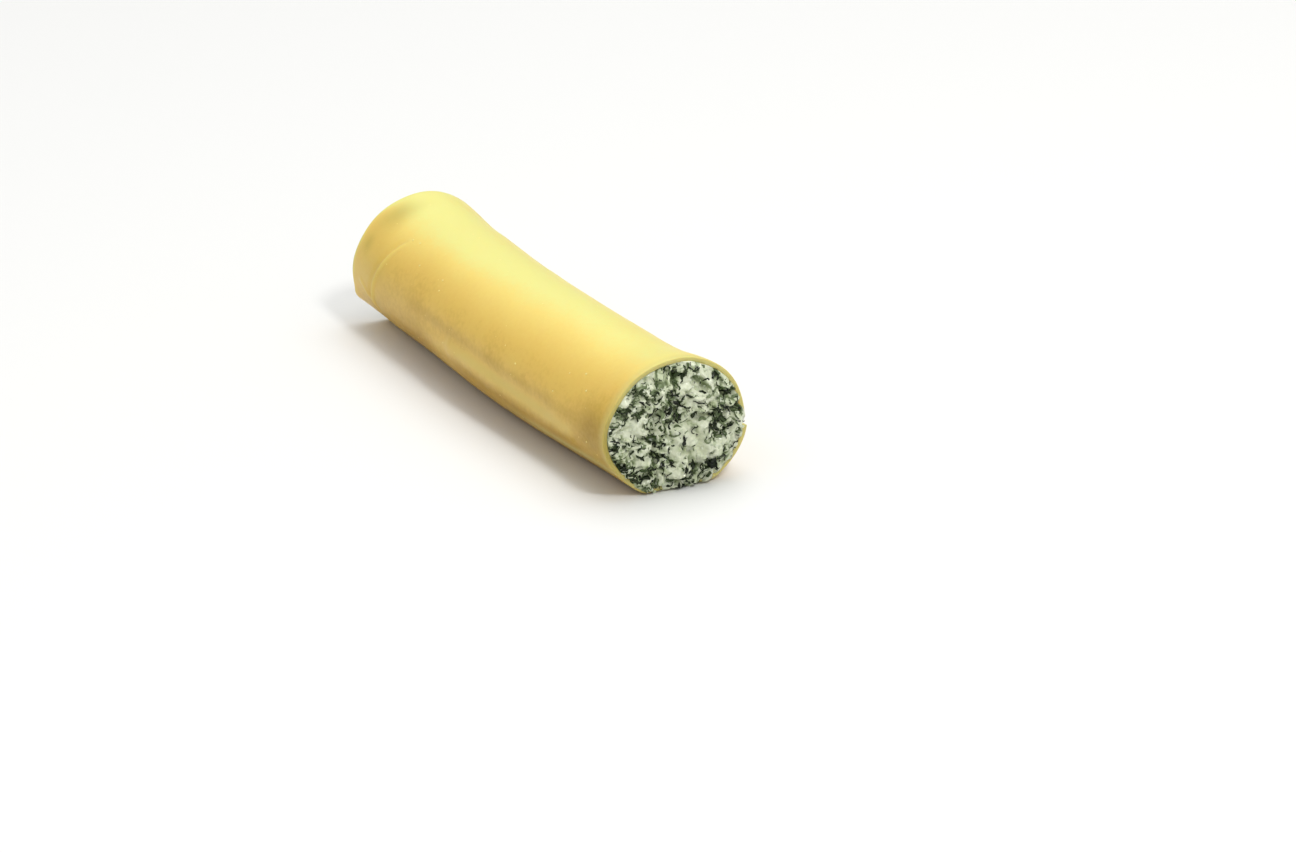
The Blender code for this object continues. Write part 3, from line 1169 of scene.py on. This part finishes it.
    def leaf_at(self, points: Array, end: End) -> tuple[Array, Array]:
        """How leafy the surface is.

        Args:
            points: places on the face, in millimetres.
            end: which face they are on.

        Returns:
            The share of leaf, from 0 for clean cheese to 1 for a whole leaf, and the thin dark
            edges of folded leaves alone.
        """
        gathered, stirred = self.gathering(points, end), self.stirred(points)
        first = 1.0 - ramp(0.02, 0.15, np.abs(self.folds.at(stirred)))
        second = 1.0 - ramp(0.02, 0.18, np.abs(self.fine_folds.at(stirred)))
        broken = ramp(-0.2, 0.15, self.breaks.at(stirred))
        first = first * ramp(-1.1, 0.3, gathered)
        second = second * ramp(-0.5, 0.5, gathered)
        threads = np.maximum(first, second) * broken
        patches = ramp(0.3, 1.0, gathered + self.bits.at(stirred))
        veil = self.veil_weight * ramp(-0.6, 0.9, gathered + self.tinge.at(stirred))
        leaf = np.maximum(self.thread_weight * threads, self.patch_weight * patches) + veil
        return np.clip(leaf, 0.0, 1.0), threads

    def spill(self, degrees: Array) -> Array:
        """How far the filling spreads out over the cut rim of the pasta.

        Args:
            degrees: angle round the roll.

        Returns:
            Distances in millimetres.
        """
        return sum(reach * lobe(degrees, angle, spread) for angle, spread, reach in self.spills)

    def pressed_grid(self) -> tuple[Array, Array]:
        """Press a square grid into a disc.

        Returns:
            How far out each point lies, from 0 to 1, and its angle round the middle.
        """
        u, v = np.meshgrid(*2 * (np.linspace(-1.0, 1.0, self.fineness),), indexing="ij")
        with np.errstate(divide="ignore", invalid="ignore"):
            wide = np.where(u == 0.0, 0.0, 45.0 * v / u) + np.where(u < 0.0, 180.0, 0.0)
            tall = 90.0 - np.where(v == 0.0, 0.0, 45.0 * u / v) + np.where(v < 0.0, 180.0, 0.0)
        degrees = np.where(np.abs(u) >= np.abs(v), wide, tall) % 360.0
        return np.maximum(np.abs(u), np.abs(v)), degrees

    def face(self, end: End) -> tuple[Array, Array, Array]:
        """One bare face.

        Args:
            end: which one.

        Returns:
            Its points as a square grid pressed into the section, and the leaf number and the angle
            round the roll at each.
        """
        form = self.form
        share, degrees = self.pressed_grid()
        if end is End.CUT:
            angle = np.radians(degrees)
            ring = self.ragged_radius * np.stack([np.cos(angle), np.sin(angle), 0.0 * angle], axis=-1)
            spill = np.maximum(self.spill(degrees) * (1.0 + self.ragged.at(ring)), 0.0)
            inset = form.inside_inset(degrees) - self.overlap - spill * share**4
            points = form.place(0.5, degrees, inset, share)
            swell, most, sink = self.lip
            lip = swell * np.minimum(spill, most) - sink
            height = self.bulge * (1.0 - share**6) + lip * share**6
            points[..., 0] += form.edge_wave(degrees) * share**form.edge_reach
        else:
            back = self.recess / form.length - 0.5
            points = form.place(back, degrees, form.inside_inset(degrees) - self.overlap, share)
            height = 0.6 * (1.0 - share**4)
        leaf, threads = self.leaf_at(points, end)
        stirred = self.stirred(points)
        relief = sum(layer.at(points) for layer in self.lumps)
        relief = relief + sum(layer.at(stirred) for layer in self.stirred_lumps)
        relief = relief - self.thread_sink * threads - self.leaf_sink * leaf
        calm = 1.0 - 0.6 * share**10
        points[..., 0] += end.value * (height + calm * relief)
        return points, leaf, degrees

    def build(self) -> bpy.types.Object:
        """Build the core: two finely worked faces joined by the plain side that the pasta hides.

        Returns:
            The core.
        """
        side = self.fineness
        back, back_leaf, _ = self.face(End.BACK)
        front, front_leaf, angles = self.face(End.CUT)
        number = np.arange(side * side).reshape(side, side)
        border = np.concatenate([number[0, :-1], number[:-1, -1], number[-1, :0:-1], number[:0:-1, 0]])
        degrees = angles.ravel()[border]
        start, stop = self.hidden
        hidden = np.linspace(self.recess / self.form.length + start, stop, self.hidden_rings)
        inset = self.form.inside_inset(degrees) + self.overlap
        ring = self.form.place(hidden[:, None], degrees[None], inset[None])
        points = np.concatenate([back.reshape(-1, 3), front.reshape(-1, 3), ring.reshape(-1, 3)])
        patch = grid_faces(side, side)
        first_ring = 2 * side * side
        rings = first_ring + np.arange(len(hidden) * len(border)).reshape(len(hidden), len(border))
        loops = [border, *rings, border + side * side]
        walls = [band(near, far) for near, far in itertools.pairwise(loops)]
        faces = np.concatenate([patch[:, ::-1], patch + side * side, *walls])
        piece = mesh_piece("filling_core", points, faces, self.finish.build())
        plain = np.full(ring.size // 3, self.hidden_leaf)
        leaf = np.concatenate([back_leaf.ravel(), front_leaf.ravel(), plain])
        mark(piece, "leaf", leaf)
        join_frame(piece, Node.FILLING)
        return piece


@dataclass(frozen=True)
class Scatter:
    """Finds places on the filling's bare faces."""

    core: bpy.types.Object
    filling: Filling
    deepest: float = 5.0  # mm: what lies deeper behind the rim isn't the face
    held_spill: float = 0.8  # share of the spill over the rim that things may lie on
    tries: int = 12  # places drawn for each one kept
    turns_leafy: tuple[float, float] = (-0.5, 0.9)  # gathering, between which cheese turns to leaf
    rim_step: float = 3.0  # degrees between the places where the rim is read
    ray_start: float = 0.6  # share of the roll's length, out from its middle

    @cached_property
    def tree(self) -> BVHTree:
        """A search tree over the core."""
        corners = [corner.co for corner in self.core.data.vertices]
        return BVHTree.FromPolygons(corners, [face.vertices for face in self.core.data.polygons])

    def drape(self, flat: Array, end: End) -> Array:
        """Drop points onto a face along X.

        Args:
            flat: Y and Z of the points in millimetres, in the last axis.
            end: which face.

        Returns:
            The points on the face, in millimetres. A point beside the face takes the height of its rim.
        """
        reach = self.ray_start * self.filling.form.length * MM
        heights = []
        rim = self.filling.form.place(end.value / 2, 0.0, 0.0)[0]
        for y, z in flat.reshape(-1, 2) * MM:
            hit = self.tree.ray_cast(Vector((end.value * reach, y, z)), Vector((-end.value, 0.0, 0.0)))[0]
            heights.append(hit.x / MM if hit and abs(hit.x / MM - rim) < self.deepest else rim)
        return np.concatenate([np.reshape(heights, (*flat.shape[:-1], 1)), flat], axis=-1)

    def held(self, points: Array, end: End) -> Array:
        """Draw in what would lie past the rim of the face.

        Args:
            points: places in millimetres.
            end: the face that they lie on.

        Returns:
            The same places, none of them past the rim.
        """
        filling = self.filling
        degrees = np.arange(0.0, 360.0, self.rim_step)
        spill = filling.spill(degrees) if end is End.CUT else 0.0 * degrees
        inset = filling.form.inside_inset(degrees) - self.held_spill * spill
        rim = filling.form.place(end.value / 2, degrees, inset)[:, 1:]
        middle = rim.mean(axis=0)
        away, rim = points[..., 1:] - middle, rim - middle
        rim_angle = np.degrees(np.arctan2(rim[:, 1], rim[:, 0]))
        angle = np.degrees(np.arctan2(away[..., 1], away[..., 0]))
        furthest = np.interp(angle, rim_angle, np.hypot(rim[:, 0], rim[:, 1]), period=360.0)
        drawn = np.minimum(1.0, furthest / np.maximum(np.hypot(away[..., 0], away[..., 1]), 0.1))
        return np.concatenate([points[..., :1], middle + away * drawn[..., None]], axis=-1)

    def draw(self, rng: Generator, count: int, end: End, leafy: float, edge: float) -> Array:
        """Draw places on a face.

        Args:
            rng: the source of chance.
            count: how many.
            end: which face.
            leafy: above 0 to prefer leafy places, below 0 to prefer cheese.
            edge: how far out they may lie, 1 being the pasta.

        Returns:
            Y and Z in millimetres.
        """
        form, tried = self.filling.form, self.tries * count
        share = np.sqrt(rng.random(tried)) * edge
        degrees = rng.uniform(0.0, 360.0, tried)
        inset = form.inside_inset(degrees)
        if end is End.CUT:
            inset = inset - self.filling.spill(degrees)
        points = form.place(end.value / 2, degrees, inset, share)
        leaf = ramp(*self.turns_leafy, self.filling.gathering(points, end))
        keep = rng.random(tried) < (leaf if leafy > 0 else 1.0 - leaf) ** abs(leafy)
        return points[keep][:count, 1:]


@dataclass(frozen=True)
class Chop:
    """One size of chopped leaf."""

    at_cut: int
    at_back: int
    length: tuple[float, float]
    width: tuple[float, float]  # half widths
    cup: float  # how far it curls across, as a share of its half width
    lift: tuple[float, float]  # of its middle over the filling
    dark: float  # share of leaves that no cheese clings to


@dataclass(frozen=True)
class SpinachShreds:
    """Chopped leaf: bent, crumpled strips that lie in the filling and stand out of it a little."""

    scatter: Scatter
    finish: CookedSpinach = CookedSpinach()
    chops: tuple[Chop, ...] = (
        Chop(770, 515, (0.5, 2.9), (0.07, 0.32), 0.5, (-0.14, 0.10), 0.55),
        Chop(26, 18, (1.4, 3.0), (0.24, 0.42), 1.6, (0.0, 0.2), 0.4),
    )
    at_cut: float = 0.99  # how far out they lie on each face, 1 being the pasta
    at_back: float = 0.93
    usual_length: float = 1.5  # mm: a leaf as long as this has its own width
    widening: tuple[float, float] = (0.9, 2.2)  # lengths between which longer ones are wider
    stations: int = 9
    sides: int = 6
    thickness: float = 0.09  # half of a wilted leaf with its clinging cheese
    mostly_short: float = 1.8  # the higher, the fewer long ones
    swing: float = 1.5  # radians that a leaf bends from end to end, at random
    weave: float = 0.5
    arch: tuple[float, float] = (-0.12, 0.3)  # mm that its middle stands over its ends
    tip: float = 0.12
    lean: float = 0.55  # radians that it leans over, and that it twists
    twist: float = 0.9
    nick: float = 0.28  # unevenness of its edges
    bare_tone: tuple[float, float] = (0.0, 0.3)
    clung_tone: tuple[float, float] = (0.45, 1.0)

    def lines(self, rng: Generator, chop: Chop, end: End) -> tuple[Array, Array]:
        """Lay the middle lines of the leaves of one size on one face.

        Args:
            rng: the source of chance.
            chop: their size.
            end: which face.

        Returns:
            Points by leaf and station, and half the width of each leaf.
        """
        at_cut = end is End.CUT
        wanted, furthest = (chop.at_cut, self.at_cut) if at_cut else (chop.at_back, self.at_back)
        centre = self.scatter.draw(rng, wanted, end, leafy=1.0, edge=furthest)
        count = len(centre)
        step = np.linspace(-0.5, 0.5, self.stations)
        shortest, longest = chop.length
        length = shortest + (longest - shortest) * rng.random(count) ** self.mostly_short
        width = rng.uniform(*chop.width, count) * np.clip(length, *self.widening) / self.usual_length
        heading = rng.uniform(0.0, 2 * math.pi, count)[:, None]
        heading = heading + rng.normal(0.0, self.swing, count)[:, None] * step
        heading = heading + self.weave * wavering(rng, count, step, (0.5, 1.6))
        stride = (length / (self.stations - 1))[:, None, None]
        flat = np.cumsum(np.stack([np.cos(heading), np.sin(heading)], axis=-1) * stride, axis=1)
        flat += centre[:, None] - flat.mean(axis=1, keepdims=True)
        line = self.scatter.drape(flat, end)
        smooth = 0.5 * line[..., 0] + 0.5 * line[..., 0].mean(axis=1, keepdims=True)
        arch = rng.uniform(*self.arch, (count, 1)) * np.sin(math.pi * (step + 0.5))
        lift = rng.uniform(*chop.lift, (count, 1)) + arch
        lift = lift + rng.normal(0.0, self.tip, (count, 1)) * step * 2
        line[..., 0] = smooth + end.value * lift
        return line, width

    def strips(self, rng: Generator, chop: Chop, end: End) -> tuple[Array, Array]:
        """Strips of one size for one face.

        Args:
            rng: the source of chance.
            chop: their size.
            end: which face.

        Returns:
            Points by strip, station and side, and the tone of each strip.
        """
        line, width = self.lines(rng, chop, end)
        count = len(line)
        step = np.linspace(-0.5, 0.5, self.stations)
        course = unit(np.gradient(line, axis=1))
        aside = unit(np.cross((end.value, 0.0, 0.0), course))
        above = np.cross(course, aside)
        roll = rng.normal(0.0, self.lean, (count, 1)) + rng.normal(0.0, self.twist, (count, 1)) * step
        roll = roll[..., None]
        flat_side = np.cos(roll) * aside + np.sin(roll) * above
        flat_up = np.cos(roll) * above - np.sin(roll) * aside
        taper = np.sqrt(np.clip(1.0 - np.abs(2.0 * step) ** 3, 0.06, 1.0))
        nicks = 1.0 + self.nick * wavering(rng, count, step, (1.0, 3.0))
        half = (width[:, None] * taper * nicks)[..., None, None]
        turn = (2 * math.pi * np.arange(self.sides) / self.sides)[:, None]
        cup = rng.uniform(-chop.cup, chop.cup, count)[:, None, None, None] * half * np.cos(turn) ** 2
        points = line[:, :, None] + half * np.cos(turn) * flat_side[:, :, None]
        points = points + (self.thickness * np.sin(turn) + cup) * flat_up[:, :, None]
        points = self.scatter.held(points, end)
        bare = rng.random(count) < chop.dark
        tone = np.where(bare, rng.uniform(*self.bare_tone, count), rng.uniform(*self.clung_tone, count))
        return points, tone

    def build(self) -> bpy.types.Object:
        """Build all the shreds as one mesh.

        Returns:
            The shreds.
        """
        rng = np.random.default_rng(61)
        lots = [self.strips(rng, chop, end) for end in End for chop in self.chops]
        points = np.concatenate([lot for lot, _ in lots])
        tone = np.concatenate([lot_tone for _, lot_tone in lots])
        count, stations, sides = points.shape[:3]
        rings = np.arange(stations * sides).reshape(stations, sides)
        walls = np.concatenate([band(near, far) for near, far in itertools.pairwise(rings)])
        starts = np.arange(count)[:, None] * stations * sides
        faces = list((walls[None] + starts[:, None]).reshape(-1, 4))
        faces += list(rings[0, ::-1] + starts)
        faces += list(rings[-1] + starts)
        piece = mesh_piece("spinach_shreds", points, faces, self.finish.build())
        mark(piece, "tone", np.repeat(tone, stations * sides))
        join_frame(piece)
        return piece


@dataclass(frozen=True)
class RicottaCurds:
    """Small curds of cheese that stand out of the filling."""

    scatter: Scatter
    finish: FreshRicotta = FreshRicotta()
    at_cut: int = 420
    at_back: int = 200
    radius: tuple[float, float] = (0.14, 0.5)
    mostly_small: float = 2.2  # the higher, the fewer large ones
    tilt: float = 0.35
    sunk: float = 0.25  # share of the radius
    tone: tuple[float, float] = (0.35, 0.3)  # mean and spread

    def build(self) -> bpy.types.Object:
        """Build all the curds as one mesh of lumpy balls.

        Returns:
            The curds.
        """
        rng = np.random.default_rng(71)
        places, outs = [], []
        for end, count in ((End.CUT, self.at_cut), (End.BACK, self.at_back)):
            flat = self.scatter.draw(rng, count, end, leafy=-1.2, edge=0.97)
            places.append(self.scatter.drape(flat, end))
            tilted = rng.normal(0.0, self.tilt, (len(flat), 2))
            outs.append(np.column_stack([np.full(len(flat), end.value), tilted]))
        middle, out = np.concatenate(places), np.concatenate(outs)
        smallest, largest = self.radius
        radius = smallest + (largest - smallest) * rng.random(len(middle)) ** self.mostly_small
        middle = middle - out * (self.sunk * radius)[:, None]
        points, faces = scattered_balls(rng, middle, out, radius, flatness=0.6, roughness=0.2)
        piece = mesh_piece("ricotta_curds", points, faces, self.finish.build())
        tone = np.clip(rng.normal(*self.tone, len(middle)), 0.0, 1.0)
        mark(piece, "tone", np.repeat(tone, points.shape[1]))
        join_frame(piece)
        return piece


# --- The studio ---


@dataclass(frozen=True)
class SoftLight:
    """A soft box aimed at the roll."""

    name: str
    place: tuple[float, float, float]  # metres
    size: tuple[float, float]  # metres
    power: float  # watts
    colour: str = "#FFFFFF"
    aim_height: float = 0.012

    def hang(self) -> None:
        """Add the light to the scene."""
        light = bpy.data.lights.new(self.name, "AREA")
        light.shape = "RECTANGLE"
        light.size, light.size_y = self.size
        light.energy = self.power
        light.color = linear(self.colour)[:3]
        lamp = bpy.data.objects.new(self.name, light)
        lamp.location = self.place
        aim = Vector((0.0, 0.0, self.aim_height)) - Vector(self.place)
        lamp.rotation_euler = aim.to_track_quat("-Z", "Y").to_euler()
        bpy.context.scene.collection.objects.link(lamp)


@dataclass(frozen=True)
class Studio:
    """A plain pale table under soft light, and the camera."""

    azimuth: float = 61.802  # degrees, from -Y towards +X
    elevation: float = 21.46
    distance: float = 1.2  # metres, as the lengths below
    lens: float = 175.67  # mm
    sensor: float = 36.0
    height: float = 0.01265
    aim_right: float = 0.02025  # the roll stands left of and above the middle of the view
    aim_up: float = -0.0171
    table: WhiteLaminate = WhiteLaminate()
    table_size: float = 6.0
    room_light: float = 0.7
    lights: tuple[SoftLight, ...] = (
        SoftLight("key", (-0.10, 0.22, 0.92), (0.9, 0.9), 5.0),
        SoftLight("side_fill", (0.0, -0.90, 0.95), (0.8, 0.6), 1.6),
        SoftLight("glint", (0.60, 0.05, 0.80), (0.16, 0.16), 3.1),
    )

    def lay_floor(self) -> None:
        """Lay a wide pale table top."""
        bpy.ops.mesh.primitive_plane_add(size=self.table_size)
        floor = bpy.context.object
        floor.name = "floor"
        floor.data.materials.append(self.table.build())

    def fill_sky(self) -> None:
        """Light the room from all round, brighter from above."""
        world = bpy.data.worlds.new("soft_room")
        world.use_nodes = True
        tree = world.node_tree
        tree.nodes.clear()
        way = add_node(tree, "ShaderNodeTexCoord").outputs["Generated"]
        up = add_node(tree, "ShaderNodeSeparateXYZ", {0: way}).outputs["Z"]
        shades = ((0.0, "#8E8E8E"), (0.25, "#B5B5B5"), (0.8, "#FFFFFF"))
        sky = add_node(tree, "ShaderNodeValToRGB", {"Fac": up}, stops=shades).outputs["Color"]
        glow = {"Color": sky, "Strength": self.room_light}
        light = add_node(tree, "ShaderNodeBackground", glow).outputs[0]
        add_node(tree, "ShaderNodeOutputWorld", {"Surface": light})
        bpy.context.scene.world = world

    def set_camera(self) -> None:
        """Stand the camera so that it looks down on the cut end and along the roll's -Y side."""
        turn, rise = math.radians(self.azimuth), math.radians(self.elevation)
        back = Vector((math.sin(turn) * math.cos(rise), -math.cos(turn) * math.cos(rise), math.sin(rise)))
        right = Vector((math.cos(turn), math.sin(turn), 0.0))
        up = back.cross(right)
        target = Vector((0.0, 0.0, self.height))
        camera = bpy.data.objects.new("camera", bpy.data.cameras.new("camera"))
        camera.data.lens = self.lens
        camera.data.sensor_width = self.sensor
        camera.data.clip_start = 0.01
        camera.location = target + back * self.distance
        aim = target + right * self.aim_right + up * self.aim_up
        camera.rotation_euler = (aim - camera.location).to_track_quat("-Z", "Y").to_euler()
        bpy.context.scene.collection.objects.link(camera)
        bpy.context.scene.camera = camera

    def build(self) -> None:
        """Set the whole studio up."""
        self.lay_floor()
        self.fill_sky()
        for light in self.lights:
            light.hang()
        self.set_camera()
        bpy.context.scene.view_settings.view_transform = "Standard"
        log.info("studio: %d lights", len(self.lights))


def main() -> None:
    """Build the part and its studio."""
    logging.basicConfig(level=logging.INFO, format="%(name)s %(message)s")
    form = RollForm().fitted(*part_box(Node.SHEET.value))
    log.info("form moved by %.2f, %.2f mm", *form.shift)
    PastaSheet(form).build()
    SemolinaGrains(form).build()
    filling = Filling(form)
    scatter = Scatter(filling.build(), filling)
    SpinachShreds(scatter).build()
    RicottaCurds(scatter).build()
    Studio().build()


if __name__ == "__main__":
    main()
